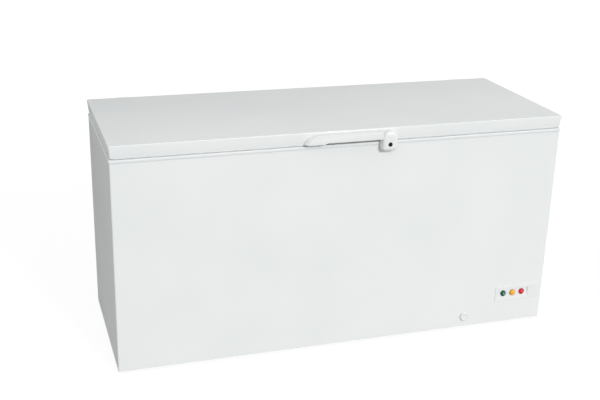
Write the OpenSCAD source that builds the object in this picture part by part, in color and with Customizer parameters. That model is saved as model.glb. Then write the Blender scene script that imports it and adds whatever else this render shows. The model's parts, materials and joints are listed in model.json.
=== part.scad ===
// Chest freezer: an insulated steel cabinet with a hinged lid, a pull handle
// with a key lock, a hanging basket, and a compressor room at the right-hand end.
// Millimetres. +Z is up, the front faces -Y, and +X is the right-hand end.
// The origin is on the floor, under the middle of the overall box.

/* [Cabinet] */
// Height from the floor to the top of the lid
overall_h = 860; // [840:5:900]
// Width across the side panels
cabinet_w = 1712; // [1640:4:1760]
// Depth from the front panel to the rear panel
cabinet_d = 612; // [600:2:650]
// Height of the panels' lower edge above the floor
foot_gap = 10; // [8:1:12]
// Thickness of the insulated walls
wall_t = 60; // [56:1:64]
// Thickness of the outer steel sheet
sheet_t = 0.8; // [0.6:0.1:1]
// Thickness of the aluminium inner liner
liner_t = 1; // [0.8:0.1:1.2]

/* [Lid] */
// Height of the lid's skirt
lid_h = 44; // [40:1:50]
// Gap between the lid's skirt and the top rim
lid_gap = 6; // [5:0.5:8]
// How far the lid and the rim stand out past the panels
reveal = 2; // [2:0.5:4]
// How far the lid overhangs the rear panel
lid_rear = 18; // [15:1:20]
// How far the skirt leans in from top to bottom
lid_draft = 5; // [3:0.5:6]
// Height of the trim rim around the cabinet's mouth
rim_h = 11; // [10:0.5:14]

/* [Handle and lock] */
// Left end of the handle
handle_left = -182; // [-190:2:-160]
// Right end of the handle, where the lock housing begins
handle_right = 112; // [108:1:120]
// How far the handle stands out from the lid
handle_proud = 24; // [22:1:26]
// How far the lock stands out from the lid
lock_proud = 30; // [28:1:32]
// Centre of the lock, left to right
lock_x = 141.5; // [139:0.5:145]

/* [Hinges] */
// Centre of each hinge, left or right of the middle
hinge_x = 713; // [690:1:730]
// Width of a hinge's plates
hinge_w = 60; // [56:1:66]
// Radius of a hinge pin
pin_r = 3; // [2.5:0.5:3.5]
// How far a hinge cover stands out behind the lid
hinge_proud = 13; // [13:0.5:14]

/* [Control panel] */
// Centre of the middle lamp, left to right
lamps_x = 724.5; // [715:0.5:730]
// Distance between lamp centres
lamp_pitch = 41; // [38:1:44]
// Radius of a lamp lens
lamp_r = 12; // [10:0.5:12.5]

/* [Compressor room] */
// Width of the compressor room
room_w = 230; // [220:2:236]
// Height of the compressor room's ceiling above the floor
room_top = 300; // [290:5:320]

/* [Drain] */
// Centre of the drain, left to right
drain_x = 516; // [500:2:530]
// Radius of the drain's bore
drain_r = 7.5; // [6:0.5:8]

/* [Basket] */
// Width of the hanging basket
basket_w = 250; // [220:5:270]
// Height of the hanging basket
basket_h = 210; // [180:5:230]

/* [Hidden] */
$fn = 48;
eps = 0.01;
far = 2000;

// Main planes, left to right
side_x = cabinet_w / 2;
inside_x = side_x - sheet_t;
tub_x = side_x - wall_t;
room_x = side_x - room_w;
step_x = room_x - 52;
rim_x = side_x + reveal;
mouth_x = tub_x - 4;

// Main planes, front to back
overall_d = lock_proud + reveal + cabinet_d + lid_rear + hinge_proud;
lock_y = -overall_d / 2;
lid_front = lock_y + lock_proud;
front_y = lid_front + reveal;
rear_y = front_y + cabinet_d;
lid_back = rear_y + lid_rear;
inside_front = front_y + sheet_t;
inside_rear = rear_y - 2 * sheet_t;
tub_front = front_y + wall_t;
tub_rear = rear_y - wall_t;
ledge_w = 14;
rim_front = front_y - reveal;
rim_rear = rear_y + reveal;
mouth_front = tub_front - ledge_w + 4;
mouth_rear = tub_rear + ledge_w - 4;

// Main heights
lid_top = overall_h;
lid_low = lid_top - lid_h;
rim_top = lid_low - lid_gap;
panel_top = rim_top - rim_h;
ledge_z = rim_top - 40;
pan_z = foot_gap + 14;
floor_z = pan_z + 52;
step_z = room_top + 52;

// Rim, lid and liner details
bend_r = 6;
flange_w = 12;
tub_r = 15;
rim_t = 2.5;
lid_sheet = 1;
lid_liner_t = 1.5;
plug_depth = 16;
plug_in = 16;
gasket_w = 20;
gasket_clear = 0.3;

// Cooling tubes
evap_r = 4;
cond_r = 3;
tube_gap = 0.3;
evap_bend = tub_r + liner_t + evap_r + tube_gap;
evap_x = tub_x + liner_t + evap_r + tube_gap;
evap_front = tub_front - liner_t - evap_r - tube_gap;
evap_end = tub_rear - 60;
evap_levels = [for (i = [0 : 4]) step_z + 40 + i * 80];
cond_x = inside_x - cond_r - tube_gap;
cond_front = inside_front + cond_r + tube_gap;
cond_end = inside_rear - 50;
cond_levels = [for (i = [0 : 4]) step_z + 20 + i * 80];
cond_bend = 15;

// Feet and rails
foot_r = 22;
foot_x = side_x - 150;
foot_ys = [front_y + 75, rear_y - 75];
rail_w = 60;
rail_t = 2;

// Compressor room
comp_x = room_x + 112;
comp_y = 60;
comp_r = 78;
comp_z = pan_z + 3 + 18;
comp_feet = [for (sx = [-1, 1], sy = [-1, 1]) [comp_x + sx * 82, comp_y + sy * 66]];
grille_y0 = -200;
grille_y1 = 200;
grille_z0 = 56;
grille_z1 = 266;
knob_y = -160;
knob_z = 160;
knob_r = 15;
knob_gap = 0.5;
cover_x0 = room_x + 8;
cover_x1 = side_x - 14;
cover_z0 = pan_z + 10;
cover_z1 = room_top - 4;
gland_x = room_x + 74;
gland_z = 70;
gland_r = 9;
cord_r = 4;

// Control panel: a plate with a sloping recess that holds the lamps
panel_x0 = 647;
panel_x1 = 839;
panel_z0 = 102;
panel_z1 = 162;
recess_x0 = 660;
recess_x1 = 793;
recess_top = 149;
recess_low = 105;
recess_d = 6;
plate_t = 2;
slope = atan(recess_d / (recess_top - recess_low));
lamp_z = 132;
lamp_y = front_y - plate_t + (lamp_z - recess_low) * tan(slope);
stem_r = 8.6;
button_lift = 3;

// Drain
drain_y = tub_front + 26;
drain_z = 52;
drain_out = drain_r + 2.3;
drain_bend = 12;
cap_r = 17.5;
cap_t = 5;
stopper_r = 12;

// Hinges
pin_y = lid_back + 6;
pin_z = lid_low - 4;
knuckle_r = 6.5;
ear_t = 3;
ear_x = 20.5;
pin_fit = 0.05;
bracket_t = 2.5;
bracket_low = 705;
bracket_screw_z = [725, 765];
bracket_screw_dx = [-12, 12];
leaf_t = 2.5;
leaf_top = lid_top - 8;
leaf_screw_z = lid_top - 20;
cover_low = lid_low + 6;
cover_high = lid_top - 3;
spring_r = 5.8;

// Handle and lock
handle_top = lid_top - 5;
handle_arc = 55;
handle_low = lid_low + 2;
grip_low = lid_low + 8;
grip_x0 = -103;
grip_x1 = 102;
grip_wall = 3.5;
grip_roof = 4;
lock_z = rim_top - 5;
lock_r = 8;
housing_x1 = 175;
housing_low = 777;
housing_r = 16;
housing_wall = 2.5;
housing_face = lock_y + 0.6;
housing_back = rim_front - 1.5;
cam_y = lock_y + 20;
cam_t = 2;
tongue_w = 6;
tongue_l = 20;
strike_x0 = lock_x + 9.5;
strike_x1 = lock_x + 23.5;
strike_lip = cam_y - 1.5;
strike_top = lock_z + tongue_w / 2 + 0.8 + 2;
housing_notch = strike_lip - 1;
grip_screw_x = [grip_x0 + 14, grip_x1 - 12];
grip_screw_z = lid_low + 22;
screw_r = 2;
screw_hole = 2.2;
head_r = 4;
head_t = 2;

// Basket
basket_x1 = tub_x - 5;
basket_x0 = basket_x1 - basket_w;
basket_y0 = tub_front + 9;
basket_y1 = tub_rear - 9;
basket_top = ledge_z + 4.4;
basket_z0 = basket_top - basket_h;
basket_t = 3;
hook_w = 10;
hook_in = 24;

// ---------- shared shapes ----------

function unit(v) = v / norm(v);

// Smallest and largest corner of two points
function low_of(a, b) = [for (i = [0 : 2]) min(a[i], b[i])];
function high_of(a, b) = [for (i = [0 : 2]) max(a[i], b[i])];

// A box between two opposite corners
module block(low, high) {
  translate(low) cube(high - low);
}

// A rectangle with round corners, in the plane
module round_rect(low, high, r) {
  translate([low[0] + r, low[1]]) square([high[0] - low[0] - 2 * r, high[1] - low[1]]);
  translate([low[0], low[1] + r]) square([high[0] - low[0], high[1] - low[1] - 2 * r]);
  for (x = [low[0] + r, high[0] - r], y = [low[1] + r, high[1] - r]) translate([x, y]) circle(r);
}

// An upright prism with round vertical edges
module round_block(low, high, r) {
  translate([0, 0, low[2]]) linear_extrude(high[2] - low[2]) round_rect(low, high, r);
}

// An outline drawn in Y and Z, extruded along X
module along_x(x0, x1) {
  translate([x0, 0, 0]) rotate([90, 0, 90]) linear_extrude(x1 - x0) children();
}

// An outline drawn in X and Z, extruded along Y
module along_y(y0, y1) {
  translate([0, y1, 0]) rotate([90, 0, 0]) linear_extrude(y1 - y0) children();
}

// A round bar from one point to another
module rod(a, b, r) {
  v = b - a;
  l = norm(v);
  translate(a) rotate([0, acos(v[2] / l), atan2(v[1], v[0])]) cylinder(r = r, h = l);
}

// A quarter bend at a corner, from direction u into direction w
module elbow(corner, u, w, r, bend) {
  c = corner + bend * (w - u);
  n = cross(u, w);
  m = [
    [-w[0], u[0], n[0], c[0]], [-w[1], u[1], n[1], c[1]], [-w[2], u[2], n[2], c[2]], [0, 0, 0, 1]
  ];
  multmatrix(m) rotate_extrude(angle = 90) translate([bend, 0]) circle(r);
}

// A bent round bar along points whose legs are square to one another
module bent_rod(points, r, bend) {
  n = len(points);
  for (i = [0 : n - 2]) {
    u = unit(points[i + 1] - points[i]);
    a = points[i] + (i > 0 ? bend : 0) * u;
    b = points[i + 1] - (i < n - 2 ? bend : 0) * u;
    rod(a, b, r);
  }
  for (i = [1 : n - 2]) {
    elbow(points[i], unit(points[i] - points[i - 1]), unit(points[i + 1] - points[i]), r, bend);
  }
}

// Square channels that clear a bent bar, with room for its bends
module channels(points, half, bend) {
  h = [half, half, half];
  n = len(points);
  for (i = [0 : n - 2]) {
    block(low_of(points[i], points[i + 1]) - h, high_of(points[i], points[i + 1]) + h);
  }
  for (i = [1 : n - 2]) {
    a = points[i] - bend * unit(points[i] - points[i - 1]);
    b = points[i] + bend * unit(points[i + 1] - points[i]);
    block(low_of(a, b) - h, high_of(a, b) + h);
  }
}

// Points of a tube that runs round three sides of the cabinet, level after level
function three_sides(x, y_front, y_end, levels) = [
  for (i = [0 : len(levels) - 1])
    let (s = i % 2 == 0 ? -1 : 1, z = levels[i])
      each [[s * x, y_end, z], [s * x, y_front, z], [-s * x, y_front, z], [-s * x, y_end, z]]
];

// A screw with a domed head, standing on z = 0 and pointing down
module screw(length) {
  intersection() {
    translate([0, 0, head_t - 5]) sphere(5);
    cylinder(r = head_r, h = head_t);
  }
  translate([0, 0, -length]) cylinder(r = screw_r, h = length + eps);
}

// ---------- cabinet ----------

// Plan outline of the cabinet, with rounded front corners, set in by a distance
module plan_outline(inset, y_back) {
  r = bend_r - inset;
  x = side_x - inset;
  y = front_y + inset;
  translate([-x, y + r]) square([2 * x, y_back - y - r]);
  translate([-x + r, y]) square([2 * x - 2 * r, 2 * r]);
  for (s = [-1, 1]) translate([s * (x - r), y + r]) circle(r);
}

// The space that the inner liner's outside takes up
module tub(grow) {
  r = tub_r + grow;
  g = grow;
  lip = ledge_w + g;
  round_block([-tub_x - g, tub_front - g, floor_z - g], [step_x + g, tub_rear + g, step_z + 1], r);
  round_block([-tub_x - g, tub_front - g, step_z - g], [tub_x + g, tub_rear + g, ledge_z + 1], r);
  round_block([-tub_x - g, tub_front - lip, ledge_z - g], [tub_x + g, tub_rear + lip, far], r);
}

module bracket_screw_points(y) {
  for (s = [-1, 1], dx = bracket_screw_dx, z = bracket_screw_z) {
    translate([s * hinge_x + dx, y, z]) children();
  }
}

// A flat plate that fills the cabinet's outline, between two levels
module inner_plate(z0, z1) {
  translate([0, 0, z0]) linear_extrude(z1 - z0) plan_outline(sheet_t, inside_rear);
}

// One bent sheet that makes the front and both ends, with a flange at the rear
module outer_wrap() {
  color("#eef0f0") difference() {
    translate([0, 0, foot_gap]) linear_extrude(rim_top - rim_t - foot_gap) difference() {
      plan_outline(0, rear_y);
      plan_outline(sheet_t, rear_y - sheet_t);
      translate([-side_x + flange_w, rear_y - 10]) square([cabinet_w - 2 * flange_w, 20]);
    }
    block([recess_x0 - 3, front_y - 1, recess_low - 2.8], [recess_x1 + 3, inside_front + 1, recess_top + 3]);
    translate([drain_x, inside_front + 1, drain_z]) rotate([90, 0, 0]) cylinder(r = drain_out + 0.2, h = 3);
    block([side_x - 2, grille_y0, grille_z0], [side_x + 1, grille_y1, grille_z1]);
  }
}

module rear_panel() {
  color("#c9cccd") difference() {
    block([-inside_x, inside_rear, foot_gap], [inside_x, rear_y - sheet_t, rim_top - rim_t]);
    block([cover_x0 + 12, inside_rear - 1, cover_z0 + 12], [cover_x1 - 12, rear_y, cover_z1 - 12]);
    bracket_screw_points(rear_y) rotate([90, 0, 0]) cylinder(r = screw_hole, h = 6);
    cover_screw_points() rotate([90, 0, 0]) cylinder(r = screw_hole, h = 6);
  }
}

module bottom_pan() {
  color("#c9cccd") intersection() {
    inner_plate(pan_z, pan_z + sheet_t);
    block([-far, -far, 0], [room_x - sheet_t, far, far]);
  }
}

evap_path = three_sides(evap_x, evap_front, evap_end, evap_levels);
cond_path = three_sides(cond_x, cond_front, cond_end, cond_levels);

// Foam that fills the walls, with channels for the cooling tubes and the drain
module cabinet_foam() {
  color("#efe2a8") difference() {
    inner_plate(pan_z + sheet_t, rim_top - rim_t);
    tub(liner_t);
    block([room_x - sheet_t, front_y - 1, 0], [far, rear_y + 1, room_top + sheet_t]);
    channels(evap_path, evap_r + tube_gap, evap_bend);
    channels(cond_path, cond_r + tube_gap, cond_bend);
    channels(drain_path, drain_out + 0.2, drain_bend);
    bracket_screw_points(rear_y) rotate([90, 0, 0]) cylinder(r = screw_hole, h = 14);
  }
}

module inner_liner() {
  color("#c8ccce") difference() {
    tub(liner_t);
    tub(0);
    block([-far, -far, panel_top], [far, far, 2 * far]);
    translate([drain_x, drain_y, floor_z - 5]) cylinder(r = drain_out + 0.2, h = 10);
  }
}

// Plastic channel that caps the walls around the mouth
module top_rim() {
  color("#e8eef2") difference() {
    block([-rim_x, rim_front, panel_top], [rim_x, rim_rear, rim_top]);
    difference() {
      translate([0, 0, panel_top - 1]) linear_extrude(rim_h - rim_t + 1) {
        plan_outline(0, rear_y);
      }
      round_block(
        [-tub_x - liner_t, tub_front - ledge_w - liner_t, 0],
        [tub_x + liner_t, tub_rear + ledge_w + liner_t, far], tub_r + liner_t
      );
    }
    round_block([-mouth_x, mouth_front, 0], [mouth_x, mouth_rear, far], tub_r - 4);
    strike_screw_points() rotate([90, 0, 0]) cylinder(r = 1.2, h = 8, center = true);
  }
}

// Steel sheet between the foam and the compressor room
module room_partition() {
  color("#b9bdbf") {
    block([room_x - sheet_t, inside_front, pan_z], [room_x, inside_rear, room_top + sheet_t]);
    intersection() {
      inner_plate(room_top, room_top + sheet_t);
      block([room_x - eps, -far, 0], [far, far, far]);
    }
  }
}

module evaporator_tube() {
  color("#c7cacc") bent_rod(evap_path, evap_r, evap_bend);
}

module condenser_tube() {
  color("#b87333") bent_rod(cond_path, cond_r, cond_bend);
}

// ---------- base ----------

// Two channel rails across the bottom that carry the feet
module base_rails() {
  color("#9a9da0") for (s = [-1, 1]) translate([s * foot_x, 0, 0]) difference() {
    block([-rail_w / 2, inside_front + 6, foot_gap], [rail_w / 2, inside_rear - 6, pan_z]);
    block([-rail_w / 2 + rail_t, front_y, 0], [rail_w / 2 - rail_t, rear_y, pan_z - rail_t]);
    for (y = foot_ys) translate([0, y, 0]) cylinder(r = 4.2, h = 100);
  }
}

// Four moulded feet, each a round pad with a boss up to its rail
module feet() {
  color("#2b2c2e") for (s = [-1, 1], y = foot_ys) translate([s * foot_x, y, 0]) difference() {
    union() {
      cylinder(r1 = foot_r - 2, r2 = foot_r, h = foot_gap - 1);
      cylinder(r = foot_r - 6, h = pan_z - rail_t);
    }
    translate([0, 0, 4]) cylinder(r = 4.2, h = 100);
  }
}

// A screw up the middle of each foot
module foot_screws() {
  color("#8d9194") for (s = [-1, 1], y = foot_ys) translate([s * foot_x, y, 4.3]) {
    cylinder(r = 4, h = pan_z - 4.3 - 0.2);
  }
}

// ---------- compressor room ----------

module compressor_plate() {
  color("#9a9da0") difference() {
    inner_plate(pan_z, pan_z + 3);
    block([-far, -far, 0], [room_x, far, far]);
    for (p = comp_feet) translate([p[0], p[1], 0]) cylinder(r = 4.2, h = 100);
  }
}

// Hermetic shell with its seam, foot plate and pipe stubs
module compressor() {
  color("#1d1e20") difference() {
    union() {
      translate([comp_x, comp_y, comp_z + 6]) {
        cylinder(r = comp_r, h = 96);
        translate([0, 0, 50]) cylinder(r = comp_r + 4, h = 5);
        translate([0, 0, 96]) intersection() {
          cylinder(r = comp_r, h = 60);
          translate([0, 0, -58]) sphere(comp_r + 19.2);
        }
      }
      block([comp_x - 94, comp_y - 78, comp_z], [comp_x + 94, comp_y + 78, comp_z + 3]);
      translate([comp_x, comp_y, comp_z + 2]) cylinder(r = comp_r - 20, h = 5);
    }
    for (p = comp_feet) translate([p[0], p[1], 0]) cylinder(r = 4.2, h = comp_z + 5);
  }
}

module compressor_grommets() {
  color("#2b2c2e") for (p = comp_feet) translate([p[0], p[1], pan_z + 3]) difference() {
    cylinder(r = 12, h = 18);
    translate([0, 0, -1]) cylinder(r = 4.2, h = 30);
  }
}

module compressor_bolts() {
  color("#8d9194") for (p = comp_feet) translate([p[0], p[1], pan_z - 5]) {
    cylinder(r = 4, h = comp_z + 3 - pan_z + 5);
    translate([0, 0, comp_z + 3 - pan_z + 5]) cylinder(r = 7, h = 5, $fn = 6);
    translate([0, 0, -4]) cylinder(r = 7, h = 4, $fn = 6);
  }
}

// Cover over the compressor's terminals, starter and overload switch
module terminal_cover() {
  color("#3a3b3d") difference() {
    block([comp_x - 36, comp_y - comp_r - 34, comp_z + 20], [comp_x + 36, comp_y - 40, comp_z + 84]);
    translate([comp_x, comp_y, 0]) cylinder(r = comp_r + 4.4, h = far);
  }
}

drier_x = room_x + 20;
drier_y = -110;
drier_z0 = 110;

module filter_drier() {
  color("#b87333") translate([drier_x, drier_y, drier_z0]) {
    cylinder(r = 10, h = 110);
    translate([0, 0, -14]) cylinder(r1 = 3, r2 = 10, h = 14 + eps);
    translate([0, 0, 110 - eps]) cylinder(r1 = 10, r2 = 3, h = 14);
  }
}

discharge_path = [
  [comp_x + 40, comp_y + comp_r - 22, comp_z + 40],
  [comp_x + 40, comp_y + comp_r + 60, comp_z + 40],
  [comp_x + 40, comp_y + comp_r + 60, room_top - 20],
  [comp_x + 40, inside_rear - 24, room_top - 20]
];

suction_path = [
  [comp_x - 40, comp_y + comp_r - 22, comp_z + 40],
  [comp_x - 40, comp_y + comp_r + 40, comp_z + 40],
  [comp_x - 40, comp_y + comp_r + 40, room_top - 44],
  [room_x + 1, comp_y + comp_r + 40, room_top - 44]
];

module pipe_outside_shell(path, r) {
  difference() {
    bent_rod(path, r, 14);
    translate([comp_x, comp_y, 0]) cylinder(r = comp_r + eps, h = far);
  }
}

module discharge_pipe() {
  color("#b87333") pipe_outside_shell(discharge_path, 3);
}

module suction_pipe() {
  color("#b87333") pipe_outside_shell(suction_path, 4);
}

// Louvred plate in the right-hand end, with a round dish for the thermostat knob
module side_grille() {
  slot_h = 7;
  color("#e6e9ea") difference() {
    union() {
      block([side_x, grille_y0 - 8, grille_z0 - 8], [side_x + 1.5, grille_y1 + 8, grille_z1 + 8]);
      block([side_x - 3, grille_y0 + 0.2, grille_z0 + 0.2], [side_x + eps, grille_y1 - 0.2, grille_z1 - 0.2]);
      translate([side_x - 11, knob_y, knob_z]) rotate([0, 90, 0]) cylinder(r = knob_r + 5, h = 11);
    }
    translate([side_x - 8.5, knob_y, knob_z]) rotate([0, 90, 0]) cylinder(r = knob_r + 3, h = 20);
    translate([side_x - 20, knob_y, knob_z]) rotate([0, 90, 0]) cylinder(r = 3.3, h = 20);
    for (z = [grille_z0 + 20 : 2.2 * slot_h : grille_z1 - 24]) {
      block([side_x - 5, knob_y + 34, z], [side_x + 5, grille_y1 - 16, z + slot_h]);
    }
  }
}

module cover_screw_points() {
  for (x = [cover_x0 + 6, cover_x1 - 6], z = [cover_z0 + 6, cover_z1 - 6]) {
    translate([x, rear_y, z]) children();
  }
}

// Vented steel plate that closes the compressor room at the rear
module rear_cover() {
  color("#c9cccd") difference() {
    block([cover_x0, rear_y - sheet_t, cover_z0], [cover_x1, rear_y + 0.4, cover_z1]);
    for (z = [cover_z0 + 90 : 16 : cover_z1 - 30]) {
      block([cover_x0 + 30, rear_y - 5, z], [cover_x1 - 30, rear_y + 5, z + 6]);
    }
    translate([gland_x, rear_y + 5, gland_z]) rotate([90, 0, 0]) cylinder(r = gland_r + 0.1, h = 20);
    cover_screw_points() rotate([90, 0, 0]) cylinder(r = screw_hole, h = 20, center = true);
  }
}

module rear_cover_screws() {
  color("#8d9194") cover_screw_points() translate([0, 0.4, 0]) rotate([-90, 0, 0]) screw(8);
}

// Rubber gland where the mains lead comes in
module cord_gland() {
  color("#232426") translate([gland_x, rear_y + 0.4, gland_z]) rotate([-90, 0, 0]) difference() {
    union() {
      translate([0, 0, -6]) cylinder(r = gland_r, h = 9);
      cylinder(r = gland_r + 3, h = 3);
      translate([0, 0, 3 - eps]) cylinder(r1 = gland_r, r2 = cord_r + 2, h = 8);
      translate([0, 0, -9]) cylinder(r = gland_r, h = 4);
    }
    translate([0, 0, -20]) cylinder(r = cord_r, h = 40);
  }
}

// ---------- control panel ----------

// Turns and lifts children onto the recess's sloping floor, at one lamp's centre
module on_slope(i) {
  translate([lamps_x + i * lamp_pitch, lamp_y, lamp_z]) rotate([90 - slope, 0, 0]) children();
}

// Side profile of the recess, as an outline in Y and Z
module recess_profile(back) {
  face = front_y - plate_t - 1;
  run = recess_d + back;
  polygon([
    [face, recess_top + back], [face + 1 + run, recess_top + back], [face + 1 + back, recess_low - back],
    [face, recess_low - back]
  ]);
}

module control_panel() {
  color("#f2f4f4") difference() {
    union() {
      block([panel_x0, front_y - plate_t, panel_z0], [panel_x1, front_y, panel_z1]);
      intersection() {
        along_x(recess_x0 - 2.5, recess_x1 + 2.5) recess_profile(2.5);
        block([0, front_y - plate_t, recess_low - 4.5], [far, 0, far]);
      }
    }
    along_x(recess_x0, recess_x1) recess_profile(0);
    for (i = [-1 : 1]) on_slope(i) cylinder(r = stem_r + 0.4, h = 30, center = true);
  }
}

// A domed lens on a stem that passes through the recess's floor
module lamp_lens(stem) {
  dome = 6;
  r = (lamp_r * lamp_r + dome * dome) / (2 * dome);
  translate([0, 0, 0.05]) cylinder(r = lamp_r, h = 1.95);
  translate([0, 0, 2 - eps]) intersection() {
    translate([0, 0, dome - r]) sphere(r);
    cylinder(r = lamp_r, h = dome + 1);
  }
  translate([0, 0, -stem]) cylinder(r = stem_r, h = stem + 0.1);
}

module green_lamp() {
  color("#0c5a34") on_slope(-1) lamp_lens(12);
}

module super_freeze_button() {
  color("#f08a1c") on_slope(0) translate([0, 0, button_lift]) lamp_lens(11);
}

module red_lamp() {
  color("#d0161a") on_slope(1) lamp_lens(12);
}

// Circuit board and housing behind the lamps
module lamp_module() {
  color("#2e3a34") on_slope(0) block([-60, -14, -28], [60, 14, -13]);
}

// ---------- thermostat ----------

module thermostat() {
  color("#b9bdbf") difference() {
    block([side_x - 42, knob_y - 20, knob_z - 18], [side_x - 11.2, knob_y + 20, knob_z + 18]);
    translate([side_x - 24, knob_y, knob_z]) rotate([0, 90, 0]) cylinder(r = 3.05, h = 20);
  }
}

// Ribbed knob in its dish, with the spindle that goes into the thermostat
module thermostat_knob() {
  color("#e6e9ea") translate([side_x - 8.5 + knob_gap, knob_y, knob_z]) rotate([0, 90, 0]) {
    difference() {
      cylinder(r = knob_r, h = 8);
      for (a = [0 : 20 : 340]) rotate(a) translate([knob_r + 1, 0, -1]) cylinder(r = 1.8, h = 10);
      translate([0, 0, 7]) block([-knob_r + 2, -1, 0], [-2, 1, 5]);
    }
    translate([0, 0, -15 - knob_gap]) cylinder(r = 3, h = 15 + knob_gap + eps);
  }
}

// ---------- drain ----------

drain_path = [[drain_x, drain_y, floor_z], [drain_x, drain_y, drain_z], [drain_x, front_y, drain_z]];

// Hollow elbow from the tub's floor to the front panel, with a collar at each end
module drain_tube() {
  bore_path = [drain_path[0] + [0, 0, 3], drain_path[1], drain_path[2] - [0, 3, 0]];
  color("#d9dcdd") difference() {
    union() {
      bent_rod(drain_path, drain_out, drain_bend);
      translate([drain_x, drain_y, floor_z]) cylinder(r = drain_out + 4, h = 1.5);
      translate([drain_x, front_y, drain_z]) rotate([90, 0, 0]) cylinder(r = drain_out + 3, h = 1.2);
    }
    bent_rod(bore_path, drain_r, drain_bend);
  }
}

// Round cap over the outlet in the front panel
module drain_cap() {
  color("#f4f6f6") translate([drain_x, front_y - 1.5, drain_z]) rotate([90, 0, 0]) {
    cylinder(r = cap_r, h = cap_t - 3);
    translate([0, 0, cap_t - 3 - eps]) cylinder(r1 = cap_r, r2 = cap_r - 3, h = 3);
    translate([0, 0, -16]) cylinder(r = drain_r - 0.3, h = 16 + eps);
  }
}

// Rubber stopper in the tub's floor, with a tab to pull it by
module drain_stopper() {
  color("#8f9496") translate([drain_x, drain_y, floor_z + 1.8]) {
    cylinder(r = stopper_r, h = 3);
    translate([0, 0, -11]) cylinder(r = drain_r - 0.3, h = 11 + eps);
    block([-5, -1.2, 3 - eps], [5, 1.2, 9]);
  }
}

// ---------- hinges ----------

// Bracket on the rear panel, whose two ears hold the pin
module hinge_bracket(s) {
  color("#b4b8ba") translate([s * hinge_x, 0, 0]) difference() {
    union() {
      block([-hinge_w / 2, rear_y, bracket_low], [hinge_w / 2, rear_y + bracket_t, panel_top - 1]);
      for (x = [-ear_x - ear_t, ear_x]) along_x(x, x + ear_t) {
        polygon([
          [rear_y, bracket_low + 30], [rear_y, panel_top - 1], [rim_rear + 0.6, panel_top - 1],
          [pin_y - knuckle_r, pin_z], [pin_y + knuckle_r, pin_z], [pin_y + knuckle_r, pin_z - 20]
        ]);
        translate([pin_y, pin_z]) circle(knuckle_r);
      }
    }
    translate([0, pin_y, pin_z]) rotate([0, 90, 0]) cylinder(r = pin_r, h = 100, center = true);
    for (dx = bracket_screw_dx, z = bracket_screw_z) translate([dx, rear_y, z]) {
      rotate([90, 0, 0]) cylinder(r = screw_hole, h = 20, center = true);
    }
  }
}

module hinge_pin(s) {
  reach = ear_x + ear_t;
  color("#8d9194") translate([s * hinge_x, pin_y, pin_z]) rotate([0, 90, 0]) {
    translate([0, 0, -reach]) cylinder(r = pin_r, h = 2 * reach);
    for (side = [-1, 1]) translate([0, 0, side * (reach + 0.9)]) {
      cylinder(r = pin_r + 2, h = 1.8, center = true);
    }
  }
}

// Coil on the pin, with one leg down the bracket
module hinge_spring(s) {
  color("#9a9da0") translate([s * hinge_x, pin_y, pin_z]) difference() {
    union() {
      translate([-18.5, 0, 0]) rotate([0, 90, 0]) cylinder(r = spring_r, h = 17);
      translate([-16.5, -spring_r + 1.6, -50]) cylinder(r = 1, h = 50);
    }
    rotate([0, 90, 0]) cylinder(r = pin_r + 0.4, h = 100, center = true);
  }
}

// Leaf on the lid's rear skirt, with the knuckle that turns on the pin
module hinge_leaf(s) {
  knuckle_x0 = 0;
  knuckle_x1 = 19.5;
  color("#b4b8ba") translate([s * hinge_x, 0, 0]) difference() {
    union() {
      translate([knuckle_x0, pin_y, pin_z]) rotate([0, 90, 0]) {
        cylinder(r = knuckle_r, h = knuckle_x1 - knuckle_x0);
      }
      block([knuckle_x0, lid_back, pin_z], [knuckle_x1, lid_back + leaf_t, lid_low + 8]);
      block([-hinge_w / 2 + 4, lid_back, lid_low + 7], [hinge_w / 2 - 4, lid_back + leaf_t, leaf_top]);
    }
    translate([0, pin_y, pin_z]) rotate([0, 90, 0]) cylinder(r = pin_r + pin_fit, h = 100, center = true);
    block([-1, lid_back - 5, pin_z - 5], [knuckle_x1 + 1, lid_back + 0.9, lid_low]);
    for (dx = [-16, 16]) translate([dx, lid_back, leaf_screw_z]) {
      rotate([90, 0, 0]) cylinder(r = screw_hole, h = 20, center = true);
    }
  }
}

// Moulded cover that hides the leaf behind the lid
module hinge_cover(s) {
  w = hinge_w / 2;
  color("#eef0f0") translate([s * hinge_x, 0, 0]) difference() {
    block([-w, lid_back, cover_low + 1.2], [w, lid_back + hinge_proud, cover_high]);
    block([-w + 2, lid_back - 1, cover_low - 1], [w - 2, lid_back + hinge_proud - 2, cover_high - 2]);
  }
}

module hinge_bracket_left() hinge_bracket(-1);
module hinge_bracket_right() hinge_bracket(1);
module hinge_pin_left() hinge_pin(-1);
module hinge_pin_right() hinge_pin(1);
module hinge_spring_left() hinge_spring(-1);
module hinge_spring_right() hinge_spring(1);
module hinge_leaf_left() hinge_leaf(-1);
module hinge_leaf_right() hinge_leaf(1);
module hinge_cover_left() hinge_cover(-1);
module hinge_cover_right() hinge_cover(1);

module bracket_screws() {
  color("#8d9194") bracket_screw_points(rear_y + bracket_t) rotate([-90, 0, 0]) screw(12);
}

module leaf_screw_points() {
  for (s = [-1, 1], dx = [-16, 16]) translate([s * hinge_x + dx, lid_back, leaf_screw_z]) children();
}

module leaf_screws() {
  color("#8d9194") leaf_screw_points() translate([0, leaf_t, 0]) rotate([-90, 0, 0]) screw(12);
}

// ---------- lid ----------

// The lid's outer shape, whose front and end skirts lean in, set in by a distance
module lid_form(inset) {
  low = lid_low;
  top = lid_top - inset;
  x = rim_x - inset;
  y0 = lid_front + inset;
  y1 = lid_back - inset;
  lean = lid_draft * (top - low) / lid_h;
  intersection() {
    along_y(-far, far) polygon([[-x + lean, low], [x - lean, low], [x, top], [-x, top]]);
    along_x(-far, far) polygon([[y0 + lean, low], [y1, low], [y1, top], [y0, top]]);
  }
}

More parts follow.
